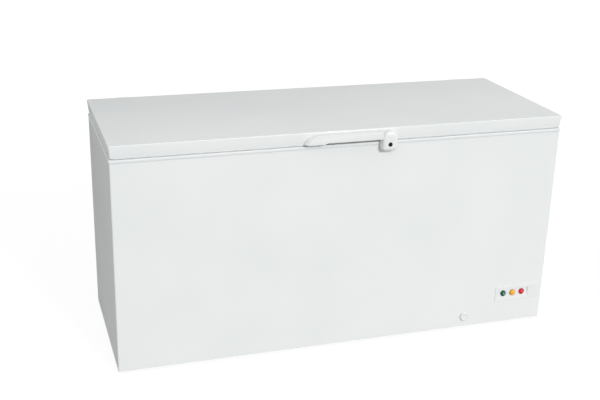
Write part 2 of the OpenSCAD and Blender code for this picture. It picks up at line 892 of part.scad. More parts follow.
plug_low = [-mouth_x + plug_in, mouth_front + plug_in, lid_low - plug_depth];
plug_high = [mouth_x - plug_in, mouth_rear - plug_in, lid_low];

module grip_screw_points() {
  for (x = grip_screw_x) translate([x, lid_front, grip_screw_z]) children();
}

module lid_skin() {
  color("#eef0f0") difference() {
    lid_form(0);
    difference() {
      lid_form(lid_sheet);
      block([-far, -far, lid_top - lid_sheet], [far, far, far]);
    }
    grip_screw_points() rotate([90, 0, 0]) cylinder(r = screw_hole, h = 30, center = true);
    leaf_screw_points() rotate([90, 0, 0]) cylinder(r = screw_hole, h = 10, center = true);
  }
}

module lid_foam() {
  color("#efe2a8") difference() {
    union() {
      intersection() {
        lid_form(lid_sheet);
        block([-far, -far, lid_low + lid_liner_t], [far, far, far]);
      }
      block(plug_low + [lid_liner_t, lid_liner_t, lid_liner_t], plug_high + [-lid_liner_t, -lid_liner_t, 5]);
    }
    grip_screw_points() rotate([90, 0, 0]) cylinder(r = screw_hole, h = 50, center = true);
    leaf_screw_points() rotate([90, 0, 0]) cylinder(r = screw_hole, h = 24, center = true);
  }
}

// Formed plastic sheet under the lid, with a shallow plug that fits the mouth
module lid_liner() {
  t = lid_liner_t;
  x = rim_x - lid_draft - lid_sheet;
  color("#f1f2f2") difference() {
    union() {
      block([-x, lid_front + lid_draft + lid_sheet, lid_low], [x, lid_back - lid_sheet, lid_low + t]);
      block(plug_low, plug_high + [0, 0, eps]);
    }
    block(plug_low + [t, t, t], plug_high + [-t, -t, 5]);
  }
}

// Magnetic seal around the plug
module lid_gasket() {
  x = side_x - 10;
  y0 = front_y + 8;
  y1 = rear_y - 2;
  w = gasket_w;
  z0 = rim_top + gasket_clear;
  color("#d5d9db") difference() {
    block([-x, y0, z0], [x, y1, lid_low]);
    block([-x + w, y0 + w, z0 - 1], [x - w, y1 - w, lid_low + 1]);
    difference() {
      block([-x - 1, y0 - 1, z0 + 2], [x + 1, y1 + 1, z0 + 3.5]);
      block([-x + 3, y0 + 3, z0 - 1], [x - 3, y1 - 3, lid_low + 1]);
    }
  }
}

// ---------- handle and lock ----------

// Front outline of the handle, in X and Z
module handle_outline() {
  cx = handle_left + handle_arc;
  cz = handle_top - handle_arc;
  translate([cx, handle_low]) square([handle_right - cx, handle_top - handle_low]);
  intersection() {
    translate([cx, cz]) circle(handle_arc);
    translate([handle_left - 1, handle_low]) square([handle_arc + 2, handle_arc]);
  }
}

// Pull handle: a hood over a pocket that opens downwards
module handle() {
  y0 = lid_front - handle_proud;
  color("#f2f4f4") difference() {
    along_y(y0, lid_front + lid_draft + 2) handle_outline();
    lid_form(0);
    block([grip_x0, y0 + grip_wall, 0], [grip_x1, 0, handle_top - grip_roof]);
    block([grip_x0, -far, 0], [grip_x1, 0, grip_low]);
  }
}

module handle_screws() {
  color("#8d9194") grip_screw_points() rotate([90, 0, 0]) screw(12);
}

// Front outline of the lock housing, in X and Z
module housing_outline(inset) {
  round_rect(
    [handle_right + inset, housing_low + inset], [housing_x1 - inset, handle_top - inset], housing_r - inset
  );
}

// Lock housing: open behind, with a notch below for the strike to pass
module lock_housing() {
  color("#f2f4f4") difference() {
    along_y(housing_face, lid_front + lid_draft + 2) housing_outline(0);
    lid_form(0);
    block([0, housing_back, 0], [far, 0, lid_low]);
    along_y(housing_face + housing_wall, 0) intersection() {
      housing_outline(housing_wall);
      translate([0, housing_low]) square([far, lid_low - housing_low - 0.5]);
    }
    block([strike_x0 - 4, housing_notch, 0], [strike_x1 + 4, 0, housing_low + 20]);
    translate([lock_x, 0, lock_z]) rotate([90, 0, 0]) cylinder(r = lock_r + 0.05, h = far);
  }
}

// Lock barrel with its key slot
module lock_cylinder() {
  color("#17181a") translate([lock_x, cam_y, lock_z]) rotate([90, 0, 0]) difference() {
    cylinder(r = lock_r, h = cam_y - lock_y);
    translate([0, 0, cam_y - lock_y - 8]) block([-1, -4, 0], [1, 4, 20]);
  }
}

// Cam on the back of the barrel, whose tongue swings under the strike
module lock_cam() {
  color("#8d9194") along_y(cam_y, cam_y + cam_t) {
    translate([lock_x, lock_z]) circle(7);
    translate([lock_x - tongue_w / 2, lock_z - tongue_l]) square([tongue_w, tongue_l]);
  }
}

module strike_screw_points() {
  for (x = [strike_x0 + 3.5, strike_x1 - 3.5]) translate([x, rim_front, lock_z - 2]) children();
}

// Bent plate on the rim, whose lip holds the cam's tongue down
module lock_strike() {
  color("#b4b8ba") difference() {
    union() {
      block([strike_x0, rim_front - 1.2, panel_top + 1], [strike_x1, rim_front, strike_top]);
      block([strike_x0, strike_lip, strike_top - 2], [strike_x1, rim_front, strike_top]);
    }
    strike_screw_points() rotate([90, 0, 0]) cylinder(r = 1.2, h = 8, center = true);
  }
}

module strike_screws() {
  color("#8d9194") strike_screw_points() rotate([90, 0, 0]) {
    translate([0, 0, 1.2]) cylinder(r = 2.2, h = 1.2);
    translate([0, 0, 0.1 - reveal]) cylinder(r = 1.1, h = reveal + 1.2);
  }
}

// ---------- basket ----------

// Hanging basket, open at the top, with four hooks that rest on the liner's ledges
module wire_basket() {
  t = basket_t;
  low = [basket_x0, basket_y0, basket_z0];
  high = [basket_x1, basket_y1, basket_top];
  color("#dfe3e5") {
    difference() {
      block(low, high);
      block(low + [t, t, t], high + [-t, -t, 1]);
    }
    for (x = [basket_x0 + hook_in, basket_x1 - hook_in - hook_w]) {
      block([x, tub_front - ledge_w + 2, basket_top - 4], [x + hook_w, basket_y0 + eps, basket_top]);
      block([x, basket_y1 - eps, basket_top - 4], [x + hook_w, tub_rear + ledge_w - 2, basket_top]);
    }
  }
}

outer_wrap();
rear_panel();
bottom_pan();
cabinet_foam();
inner_liner();
top_rim();
room_partition();
evaporator_tube();
condenser_tube();
base_rails();
feet();
foot_screws();
compressor_plate();
compressor();
compressor_grommets();
compressor_bolts();
terminal_cover();
filter_drier();
discharge_pipe();
suction_pipe();
side_grille();
rear_cover();
rear_cover_screws();
cord_gland();
control_panel();
green_lamp();
super_freeze_button();
red_lamp();
lamp_module();
thermostat();
thermostat_knob();
drain_tube();
drain_cap();
drain_stopper();
hinge_bracket_left();
hinge_bracket_right();
hinge_pin_left();
hinge_pin_right();
hinge_spring_left();
hinge_spring_right();
bracket_screws();
lock_strike();
strike_screws();
lid_skin();
lid_foam();
lid_liner();
lid_gasket();
hinge_leaf_left();
hinge_leaf_right();
hinge_cover_left();
hinge_cover_right();
leaf_screws();
handle();
handle_screws();
lock_housing();
lock_cylinder();
lock_cam();
wire_basket();
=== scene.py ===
import json
import math

import bmesh
import bpy
from mathutils import Matrix, Vector


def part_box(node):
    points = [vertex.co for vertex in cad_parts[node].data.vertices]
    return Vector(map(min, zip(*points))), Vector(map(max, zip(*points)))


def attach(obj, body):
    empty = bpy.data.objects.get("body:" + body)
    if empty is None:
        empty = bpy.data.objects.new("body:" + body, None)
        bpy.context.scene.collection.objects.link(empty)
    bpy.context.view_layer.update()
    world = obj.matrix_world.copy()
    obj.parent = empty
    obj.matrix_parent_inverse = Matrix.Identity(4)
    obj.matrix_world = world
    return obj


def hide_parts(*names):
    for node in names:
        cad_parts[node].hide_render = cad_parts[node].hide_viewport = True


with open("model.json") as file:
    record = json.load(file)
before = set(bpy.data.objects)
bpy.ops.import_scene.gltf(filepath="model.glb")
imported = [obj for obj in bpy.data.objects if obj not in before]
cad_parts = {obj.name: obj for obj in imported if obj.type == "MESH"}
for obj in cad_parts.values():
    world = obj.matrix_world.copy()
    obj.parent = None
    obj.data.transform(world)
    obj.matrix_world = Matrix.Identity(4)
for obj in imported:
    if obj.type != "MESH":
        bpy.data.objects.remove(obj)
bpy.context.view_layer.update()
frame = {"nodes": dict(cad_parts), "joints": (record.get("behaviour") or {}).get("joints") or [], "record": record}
NODES = frame["nodes"]
BODY_OF = {n: b for b, ns in frame["record"]["behaviour"]["bodies"].items() for n in ns}
SLOT_OF = {p["node"]: p["material_slot"] for p in frame["record"]["subparts"]}
JOINTS = {j["name"]: j for j in frame["joints"]}
MM = 0.001


# ---------- camera, floor and lights ----------

CAMERA_AT = (-1.2163, -3.4502, 1.8423)
CAMERA_TURN = (69.587, -1.347, -17.655)
LENS_MM = 59.02

camera = bpy.data.objects.new("camera", bpy.data.cameras.new("camera"))
camera.data.sensor_width = 36
camera.data.lens = LENS_MM
camera.data.clip_end = 200
camera.location = CAMERA_AT
camera.rotation_euler = [math.radians(a) for a in CAMERA_TURN]
bpy.context.scene.collection.objects.link(camera)
bpy.context.scene.camera = camera


def soft_sun(name, azimuth, elevation, strength, width, colour=(1, 1, 1)):
    """A far, wide studio light. Azimuth 0 is in front and 90 to the right, in degrees."""
    data = bpy.data.lights.new(name, "SUN")
    data.energy = strength
    data.angle = math.radians(width)
    data.color = colour
    a, e = math.radians(azimuth), math.radians(elevation)
    direction = Vector((math.sin(a) * math.cos(e), -math.cos(a) * math.cos(e), math.sin(e)))
    light = bpy.data.objects.new(name, data)
    light.location = direction * 5
    light.rotation_euler = direction.to_track_quat("Z", "Y").to_euler()
    bpy.context.scene.collection.objects.link(light)
    return light


soft_sun("key", 18, 26, 1.75, 12)

# The studio's walls, floor and ceiling, as soft lobes of light: (direction, strength)
LOBES = {
    "left": ((-1, 0, 0), .82),
    "right": ((1, 0, 0), .7),
    "front": ((0, -1, 0), .24),
    "back": ((0, 1, 0), .03),
    "up": ((0, 0, 1), .5),
    "down": ((0, 0, -1), .02),
}


def studio_world(lobes, tint):
    made = bpy.data.worlds.new("studio")
    made.use_nodes = True
    tree = made.node_tree
    where = tree.nodes.new("ShaderNodeTexCoord").outputs["Generated"]
    total = None
    for direction, strength in lobes.values():
        facing = tree.nodes.new("ShaderNodeVectorMath")
        facing.operation = "DOT_PRODUCT"
        facing.inputs[1].default_value = direction
        tree.links.new(where, facing.inputs[0])
        lobe = tree.nodes.new("ShaderNodeMapRange")
        lobe.inputs["To Max"].default_value = strength
        tree.links.new(facing.outputs["Value"], lobe.inputs["Value"])
        if total is None:
            total = lobe.outputs["Result"]
            continue
        added = tree.nodes.new("ShaderNodeMath")
        tree.links.new(total, added.inputs[0])
        tree.links.new(lobe.outputs["Result"], added.inputs[1])
        total = added.outputs["Value"]
    background = tree.nodes["Background"]
    background.inputs["Color"].default_value = (*tint, 1)
    tree.links.new(total, background.inputs["Strength"])
    return made


bpy.context.scene.world = studio_world(LOBES, (0.99, 1.0, 1.0))
bpy.context.scene.view_settings.view_transform = "Standard"


# ---------- materials ----------

class Finish:
    """A procedural material, built from noise in the object's own coordinates."""

    def __init__(self, name, base, rough, **sockets):
        self.material = bpy.data.materials.new(name)
        self.material.use_nodes = True
        self.tree = self.material.node_tree
        self.shader = self.tree.nodes["Principled BSDF"]
        self.base = base
        self.rough = rough
        self.shader.inputs["Base Color"].default_value = (*base, 1)
        self.shader.inputs["Roughness"].default_value = rough
        for socket, value in sockets.items():
            self.shader.inputs[socket.replace("_", " ")].default_value = value
        self.where = self.node("ShaderNodeTexCoord").outputs["Object"]
        self.height = None

    def node(self, kind, **settings):
        made = self.tree.nodes.new(kind)
        for key, value in settings.items():
            if key in made.inputs:
                made.inputs[key].default_value = value
            else:
                setattr(made, key, value)
        return made

    def link(self, a, b):
        self.tree.links.new(a, b)

    def stretched(self, scale):
        """Object coordinates, stretched by a factor along each axis."""
        mapping = self.node("ShaderNodeMapping")
        mapping.inputs["Scale"].default_value = scale
        self.link(self.where, mapping.inputs["Vector"])
        return mapping.outputs["Vector"]

    def noise(self, scale, detail=3.0, stretch=None):
        made = self.node("ShaderNodeTexNoise", Scale=scale, Detail=detail)
        self.link(self.stretched(stretch) if stretch else self.where, made.inputs["Vector"])
        return made.outputs["Fac"]

    def ramp(self, value, low, high, stops=(0.35, 0.65)):
        """A colour from low to high as a value goes over the stops."""
        made = self.node("ShaderNodeValToRGB")
        first, last = made.color_ramp.elements
        first.position, first.color = stops[0], (*low, 1)
        last.position, last.color = stops[1], (*high, 1)
        self.link(value, made.inputs["Fac"])
        return made.outputs["Color"]

    def range(self, value, low, high):
        made = self.node("ShaderNodeMapRange")
        made.inputs["From Min"].default_value = 0.3
        made.inputs["From Max"].default_value = 0.7
        made.inputs["To Min"].default_value = low
        made.inputs["To Max"].default_value = high
        self.link(value, made.inputs["Value"])
        return made.outputs["Result"]

    def tone(self, value, amount, tint=(1, 1, 1)):
        """The base colour, which a noise darkens by up to an amount."""
        low = [c * (1 - amount) * t for c, t in zip(self.base, tint)]
        self.link(self.ramp(value, low, self.base), self.shader.inputs["Base Color"])
        return self

    def gloss(self, value, spread):
        result = self.range(value, max(0.03, self.rough - spread), self.rough + spread)
        self.link(result, self.shader.inputs["Roughness"])
        return self

    def bump(self, value, metres, strength=1.0):
        """Adds relief of a depth in metres, on top of what is there."""
        made = self.node("ShaderNodeBump", Strength=strength, Distance=metres)
        self.link(value, made.inputs["Height"])
        if self.height is not None:
            self.link(self.height, made.inputs["Normal"])
        self.height = made.outputs["Normal"]
        self.link(self.height, self.shader.inputs["Normal"])
        return self


FINISHES = {}


def painted(name, base, rough, peel=0.00006, wave=0.0006, coat=0.25):
    """Stoved paint on sheet steel: orange peel, and the sheet's slow waves."""
    made = Finish(name, base, rough, Coat_Weight=coat, Coat_Roughness=0.12)
    made.tone(made.noise(3.2, 4), 0.025, (0.99, 1.0, 1.0))
    made.gloss(made.noise(38, 3), 0.05)
    made.bump(made.noise(1.7, 1), wave)
    made.bump(made.noise(520, 2), peel)
    return made


def moulded(name, base, rough, grain=0.00008, scale=900, spread=0.04, tone=0.03):
    """Injection-moulded plastic with a fine spark-eroded grain."""
    made = Finish(name, base, rough)
    made.tone(made.noise(14, 4), tone)
    made.gloss(made.noise(60, 3), spread)
    made.bump(made.noise(scale, 2), grain)
    return made


def sheet_metal(name, base, rough, spangle=0.0, brush=None, metallic=1.0):
    """Bare metal: zinc spangle, or brushing along one axis."""
    made = Finish(name, base, rough, Metallic=metallic)
    if spangle:
        cells = made.node("ShaderNodeTexVoronoi", Scale=spangle)
        made.link(made.where, cells.inputs["Vector"])
        made.link(made.ramp(cells.outputs["Color"], [c * 0.82 for c in base], base, (0.1, 0.9)),
                  made.shader.inputs["Base Color"])
        made.link(made.range(cells.outputs["Color"], rough - 0.1, rough + 0.1),
                  made.shader.inputs["Roughness"])
        made.bump(made.noise(240, 3), 0.00003)
    else:
        made.tone(made.noise(22, 4), 0.12)
        made.gloss(made.noise(160, 3, brush), 0.09)
        made.bump(made.noise(420, 2, brush), 0.00002)
    return made


def rubbery(name, base, rough=0.6):
    made = Finish(name, base, rough, Specular_IOR_Level=0.35)
    made.tone(made.noise(30, 4), 0.12)
    made.gloss(made.noise(120, 3), 0.08)
    made.bump(made.noise(700, 3), 0.00006)
    return made


def build_finishes():
    f = FINISHES
    f["white_steel"] = painted("white_steel", (0.80, 0.813, 0.808), 0.34)
    f["lid_steel"] = painted("lid_steel", (0.815, 0.827, 0.823), 0.46, coat=0.2)
    f["white_plastic"] = moulded("white_plastic", (0.79, 0.803, 0.798), 0.32)
    f["rim_plastic"] = moulded("rim_plastic", (0.78, 0.80, 0.805), 0.5)
    f["galvanised_steel"] = sheet_metal("galvanised_steel", (0.60, 0.62, 0.63), 0.42, spangle=55, metallic=0.8)
    f["zinc_steel"] = sheet_metal("zinc_steel", (0.62, 0.63, 0.64), 0.34, brush=(1, 1, 12))
    f["aluminium_tube"] = sheet_metal("aluminium_tube", (0.72, 0.73, 0.74), 0.30, brush=(8, 1, 8))
    f["copper"] = sheet_metal("copper", (0.72, 0.36, 0.22), 0.26, brush=(8, 8, 1))
    f["black_steel"] = painted("black_steel", (0.018, 0.018, 0.02), 0.35, peel=0.0001)
    f["black_plastic"] = moulded("black_plastic", (0.025, 0.025, 0.028), 0.5, tone=0.2)
    f["lock_black"] = moulded("lock_black", (0.012, 0.012, 0.014), 0.32, grain=0.00003, tone=0.2)
    f["black_rubber"] = rubbery("black_rubber", (0.02, 0.02, 0.021))
    f["grey_rubber"] = rubbery("grey_rubber", (0.22, 0.235, 0.245))
    f["gasket_rubber"] = rubbery("gasket_rubber", (0.78, 0.80, 0.81), 0.5)
    f["basket_wire"] = painted("basket_wire", (0.78, 0.80, 0.81), 0.32, peel=0.00012)

    liner = Finish("aluminium_liner", (0.78, 0.79, 0.80), 0.36, Metallic=0.75)
    liner.tone(liner.noise(4, 4), 0.06)
    cells = liner.node("ShaderNodeTexVoronoi", Scale=230.0, feature="SMOOTH_F1")
    liner.link(liner.where, cells.inputs["Vector"])
    liner.bump(cells.outputs["Distance"], 0.00045)
    liner.gloss(liner.noise(30, 3), 0.06)
    f["aluminium_liner"] = liner

    foam = Finish("foam", (0.83, 0.70, 0.42), 0.9, Specular_IOR_Level=0.2)
    foam.tone(foam.noise(25, 5), 0.2)
    pores = foam.node("ShaderNodeTexVoronoi", Scale=420.0)
    foam.link(foam.where, pores.inputs["Vector"])
    foam.bump(pores.outputs["Distance"], 0.0006)
    f["foam"] = foam

    board = Finish("circuit_board", (0.01, 0.10, 0.045), 0.4)
    board.tone(board.noise(300, 1, (1, 12, 1)), 0.45)
    board.bump(board.noise(260, 2), 0.0002)
    f["circuit_board"] = board

    lenses = {
        "green_lens": (0.0, 0.10, 0.055),
        "orange_lens": (0.95, 0.36, 0.03),
        "red_lens": (0.60, 0.012, 0.02),
    }
    for name, base in lenses.items():
        made = Finish(name, base, 0.3, Specular_IOR_Level=0.25, Coat_Weight=0.12, Coat_Roughness=0.08)
        made.tone(made.noise(160, 2), 0.2)
        made.bump(made.noise(700, 1), 0.00004)
        f[name] = made


build_finishes()


def paint(obj, slot, finish=None):
    """Gives a piece one of the finishes: the one named, or else the one named after its slot."""
    obj.data.materials.clear()
    obj.data.materials.append(FINISHES[finish or slot].material)
    for polygon in obj.data.polygons:
        polygon.material_index = 0
    return obj


# ---------- mesh helpers ----------

def smooth(mesh, angle=32):
    """Smooth shading with sharp edges above an angle in degrees."""
    mesh.polygons.foreach_set("use_smooth", [True] * len(mesh.polygons))
    mesh.set_sharp_from_angle(angle=math.radians(angle))
    mesh.update()


def piece(name, bm, slot, body, replaced=(), angle=32, finish=None):
    """Turns a bmesh into a piece that rides on a body and stands for CAD nodes."""
    bmesh.ops.recalc_face_normals(bm, faces=bm.faces)
    mesh = bpy.data.meshes.new(name)
    bm.to_mesh(mesh)
    bm.free()
    smooth(mesh, angle)
    obj = bpy.data.objects.new(name, mesh)
    bpy.context.scene.collection.objects.link(obj)
    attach(obj, body)
    if replaced:
        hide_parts(*replaced)
    paint(obj, slot, finish)
    return obj


def loft(bm, rings, close_start=True, close_end=True):
    """Joins rings of as many points each with faces, and closes the ends."""
    rows = [[bm.verts.new(p) for p in ring] for ring in rings]
    count = len(rows[0])
    for a, b in zip(rows, rows[1:]):
        for i in range(count):
            j = (i + 1) % count
            bm.faces.new((a[i], a[j], b[j], b[i]))
    if close_start:
        bm.faces.new(list(reversed(rows[0])))
    if close_end:
        bm.faces.new(rows[-1])
    return rows


def rounded_outline(x0, x1, y0, y1, radius, z, steps=5):
    """Points round a rectangle with round corners, at one height."""
    points = []
    r = max(radius, 1e-5)
    corners = ((x1 - r, y1 - r, 0), (x0 + r, y1 - r, 90), (x0 + r, y0 + r, 180), (x1 - r, y0 + r, 270))
    for cx, cy, start in corners:
        for i in range(steps + 1):
            a = math.radians(start + 90 * i / steps)
            points.append(Vector((cx + r * math.cos(a), cy + r * math.sin(a), z)))
    return points


def arc(cx, cz, r, start, end, steps):
    """Points on an arc, in the plane."""
    return [
        (cx + r * math.cos(math.radians(start + (end - start) * i / steps)),
         cz + r * math.sin(math.radians(start + (end - start) * i / steps)))
        for i in range(steps + 1)
    ]


def rounded_box(bm, low, high, radius, segments=3):
    """A box with rounded edges, added to a bmesh."""
    low, high = Vector(low), Vector(high)
    made = bmesh.ops.create_cube(bm, size=1)["verts"]
    size = high - low
    for v in made:
        v.co = Vector(((v.co.x + 0.5) * size.x, (v.co.y + 0.5) * size.y, (v.co.z + 0.5) * size.z)) + low
    edges = {e for v in made for e in v.link_edges}
    bmesh.ops.bevel(bm, geom=list(edges), offset=min(radius, min(size) * 0.45), segments=segments,
                    profile=0.5, affect="EDGES", clamp_overlap=True)


def turned(bm, profile, centre, axis, sides=40):
    """A solid turned from (radius, distance along the axis) points, closed at both ends."""
    axis = Vector(axis).normalized()
    turn = axis.to_track_quat("Z", "Y").to_matrix()
    rings = []
    for r, h in profile:
        rings.append([
            Vector(centre) + turn @ Vector((max(r, 1e-5) * math.cos(2 * math.pi * i / sides),
                                            max(r, 1e-5) * math.sin(2 * math.pi * i / sides), h))
            for i in range(sides)
        ])
    loft(bm, rings)


def sweep(bm, path, radius, sides=10, closed=False):
    """A round rod along a path of points."""
    points = [Vector(p) for p in path]
    count = len(points)
    rings = []
    normal = None
    for i, p in enumerate(points):
        before = points[i - 1] if i or closed else p
        after = points[(i + 1) % count] if i + 1 < count or closed else p
        along = (after - before).normalized()
        if normal is None:
            normal = along.orthogonal().normalized()
        normal = (normal - along * normal.dot(along)).normalized()
        side = along.cross(normal)
        rings.append([
            bm.verts.new(p + radius * (math.cos(2 * math.pi * k / sides) * normal
                                       + math.sin(2 * math.pi * k / sides) * side))
            for k in range(sides)
        ])
    pairs = list(zip(rings, rings[1:]))
    if closed:
        pairs.append((rings[-1], rings[0]))
    for a, b in pairs:
        for k in range(sides):
            n = (k + 1) % sides
            bm.faces.new((a[k], a[n], b[n], b[k]))
    if not closed:
        bm.faces.new(list(reversed(rings[0])))
        bm.faces.new(rings[-1])


def eased(path, radius, steps=5):
    """A path with its corners rounded."""
    points = [Vector(p) for p in path]
    out = [points[0]]
    for a, b, c in zip(points, points[1:], points[2:]):
        u, v = (a - b).normalized(), (c - b).normalized()
        r = min(radius, (a - b).length / 2, (c - b).length / 2)
        p, q = b + u * r, b + v * r
        for i in range(steps + 1):
            t = i / steps
            out.append(p * (1 - t) ** 2 + b * 2 * t * (1 - t) + q * t * t)
    out.append(points[-1])
    return out


def finer(node, width, segments=2, angle=35, slot=None, only=None):
    """A copy of a CAD node with welded faces and softened edges, which stands for it."""
    bm = bmesh.new()
    bm.from_mesh(NODES[node].data)
    bmesh.ops.remove_doubles(bm, verts=bm.verts, dist=2e-6)
    bmesh.ops.dissolve_limit(bm, angle_limit=math.radians(0.3), verts=bm.verts, edges=bm.edges)
    sharp = [
        e for e in bm.edges
        if len(e.link_faces) == 2 and e.calc_face_angle(0) > math.radians(angle) and (only is None or only(e))
    ]
    if width:
        bmesh.ops.bevel(bm, geom=sharp, offset=width, segments=segments, profile=0.5,
                        affect="EDGES", clamp_overlap=True)
    return piece(node + "_shown", bm, slot or SLOT_OF[node], BODY_OF[node], [node])


# ---------- CAD nodes that are shown as they are ----------

for name, node in NODES.items():
    paint(node, SLOT_OF[name])


def carved(bm, cutters):
    """What is left of a solid after other closed solids are cut from it."""
    objects = []
    for i, b in enumerate([bm, *cutters]):
        bmesh.ops.recalc_face_normals(b, faces=b.faces)
        mesh = bpy.data.meshes.new(f"carving{i}")
        b.to_mesh(mesh)
        b.free()
        obj = bpy.data.objects.new(f"carving{i}", mesh)
        bpy.context.scene.collection.objects.link(obj)
        objects.append(obj)
    for cutter in objects[1:]:
        modifier = objects[0].modifiers.new("cut", "BOOLEAN")
        modifier.operation = "DIFFERENCE"
        modifier.solver = "EXACT"
        modifier.object = cutter
    bpy.context.view_layer.update()
    result = bmesh.new()
    result.from_object(objects[0], bpy.context.evaluated_depsgraph_get())
    for obj in objects:
        mesh = obj.data
        bpy.data.objects.remove(obj)
        bpy.data.meshes.remove(mesh)
    return result


def soften(bm, width, angle=50, segments=2, only=None):
    """Rounds a solid's sharp edges."""
    bmesh.ops.remove_doubles(bm, verts=bm.verts, dist=2e-6)
    bmesh.ops.dissolve_limit(bm, angle_limit=math.radians(0.3), verts=bm.verts, edges=bm.edges)
    sharp = [
        e for e in bm.edges
        if len(e.link_faces) == 2 and e.calc_face_angle(0) > math.radians(angle) and (only is None or only(e))
    ]
    bmesh.ops.bevel(bm, geom=sharp, offset=width, segments=segments, profile=0.5,
                    affect="EDGES", clamp_overlap=True)
    return bm


def solid(build, *args, **kwargs):
    bm = bmesh.new()
    build(bm, *args, **kwargs)
    return bm


def loop_loft(bm, rings):
    """A closed section carried round a closed line: each ring holds one point of the section."""
    rows = [[bm.verts.new(p) for p in ring] for ring in rings]
    count = len(rows[0])
    for a, b in zip(rows, rows[1:] + rows[:1]):
        for i in range(count):
            j = (i + 1) % count
            bm.faces.new((a[i], a[j], b[j], b[i]))


def corners_near(node, test):
    """Lowest and highest corner of those points of a CAD node that pass a test."""
    points = [v.co for v in NODES[node].data.vertices if test(v.co)]
    return (Vector([min(p[i] for p in points) for i in range(3)]),
            Vector([max(p[i] for p in points) for i in range(3)]))


def islands(node):
    """Lowest and highest corner of each separate solid of a CAD node."""
    bm = bmesh.new()
    bm.from_mesh(NODES[node].data)
    bmesh.ops.remove_doubles(bm, verts=bm.verts, dist=2e-6)
    found, left = [], set(bm.verts)
    while left:
        group, stack = set(), [next(iter(left))]
        while stack:
            v = stack.pop()
            if v in group:
                continue
            group.add(v)
            stack.extend(e.other_vert(v) for e in v.link_edges)
        left -= group
        found.append((Vector([min(v.co[i] for v in group) for i in range(3)]),
                      Vector([max(v.co[i] for v in group) for i in range(3)])))
    bm.free()
    return sorted(found, key=lambda b: tuple(round(c, 5) for c in b[0]))


# ---------- lid ----------

lid0, lid1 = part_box("lid_skin")
LID_TOP, LID_LOW = lid1.z, lid0.z
foot0, foot1 = corners_near("lid_skin", lambda p: p.z < LID_LOW + 0.0005)
LEAN = lid1.x - foot1.x
SHEET = 0.001
FOLD = 0.0026
HEM = 0.0014
HEM_LOW = LID_LOW - 0.002
SINK = 0.0045


def lid_ring(inset, z):
    lean = LEAN * (LID_TOP - z) / (LID_TOP - LID_LOW)
    return rounded_outline(lid0.x + inset + lean, lid1.x - inset - lean, lid0.y + inset + lean, lid1.y - inset,
                           max(0.005 - inset, 0.0015), z)


def build_lid_skin():
    rings = []
    for i in range(7):
        a = math.radians(90 * i / 6)
        rings.append(lid_ring(FOLD * (1 - math.sin(a)), LID_TOP - FOLD * (1 - math.cos(a))))
    rings.append(lid_ring(0, LID_LOW + 0.02))
    for i in range(7):
        a = math.radians(180 * i / 6)
        rings.append(lid_ring(HEM * (1 - math.cos(a)), HEM_LOW + HEM * (1 - math.sin(a))))
    rings.append(lid_ring(2 * HEM, LID_LOW + 0.009))
    rings.append(lid_ring(SHEET, LID_LOW + 0.0095))
    rings.append(lid_ring(SHEET, LID_TOP - FOLD))
    rings.append(lid_ring(FOLD, LID_TOP - SHEET))
    bm = bmesh.new()
    loft(bm, rings)
    piece("lid_skin_shown", bm, "white_steel", "lid", ["lid_skin"], angle=40, finish="lid_steel")


def build_lid_foam():
    """Fills the skin a little short of the folded sheet, and the plug below it."""
    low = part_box("lid_foam")[0]
    plug0, plug1 = corners_near("lid_foam", lambda p: p.z < low.z + 0.0005)
    gap = 2 * HEM + 0.0004
    top = LID_TOP - SHEET - 0.0004
    bm = bmesh.new()
    loft(bm, [
        lid_ring(gap, LID_LOW + 0.0016), lid_ring(gap, top - 0.005), lid_ring(gap + 0.0012, top - 0.0018),
        lid_ring(gap + 0.003, top - 0.0004), lid_ring(gap + 0.005, top),
    ])
    rounded_box(bm, (plug0.x + SHEET, plug0.y + SHEET, low.z + SINK),
                (plug1.x - SHEET, plug1.y - SHEET, LID_LOW + 0.004), 0.004, 2)
    piece("lid_foam_shown", bm, "foam", "lid", ["lid_foam"], angle=40)


def build_lid_liner():
    low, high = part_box("lid_liner")
    plug0, plug1 = corners_near("lid_liner", lambda p: p.z < low.z + 0.0005)
    face = LID_LOW

    def rect(outer, inset, z, radius):
        a, b = (low, high) if outer else (plug0, plug1)
        return rounded_outline(a.x + inset, b.x - inset, a.y + inset, b.y - inset, radius, z, 6)

    sunk = plug0.z + SINK
    rings = [
        rect(True, 0.004, high.z, 0.004), rect(True, 0, high.z, 0.005), rect(True, 0, face + 0.0003, 0.005),
        rect(True, 0.0004, face, 0.005), rect(False, -0.008, face, 0.026),
        rect(False, -0.0045, face - 0.0006, 0.023),
        rect(False, -0.0012, face - 0.0035, 0.02), rect(False, 0, face - 0.006, 0.019),
        rect(False, 0.0008, sunk, 0.018), rect(False, 0.0022, plug0.z + 0.0015, 0.017),
        rect(False, 0.0055, plug0.z, 0.015), rect(False, 0.034, plug0.z, 0.02),
        rect(False, 0.0375, plug0.z + 0.0008, 0.02), rect(False, 0.0405, sunk - 0.0008, 0.018),
        rect(False, 0.0445, sunk, 0.016),
    ]
    bm = bmesh.new()
    loft(bm, rings)
    # Shallow ribs across the sunk panel, as a vacuum-formed sheet has
    for i in range(-3, 4):
        x = i * (plug1.x - plug0.x - 0.16) / 7
        rounded_box(bm, (x - 0.011, plug0.y + 0.075, plug0.z + 0.0012),
                    (x + 0.011, plug1.y - 0.075, sunk + 0.001), 0.0016)
    piece("lid_liner_shown", bm, "white_plastic", "lid", ["lid_liner"], angle=35)


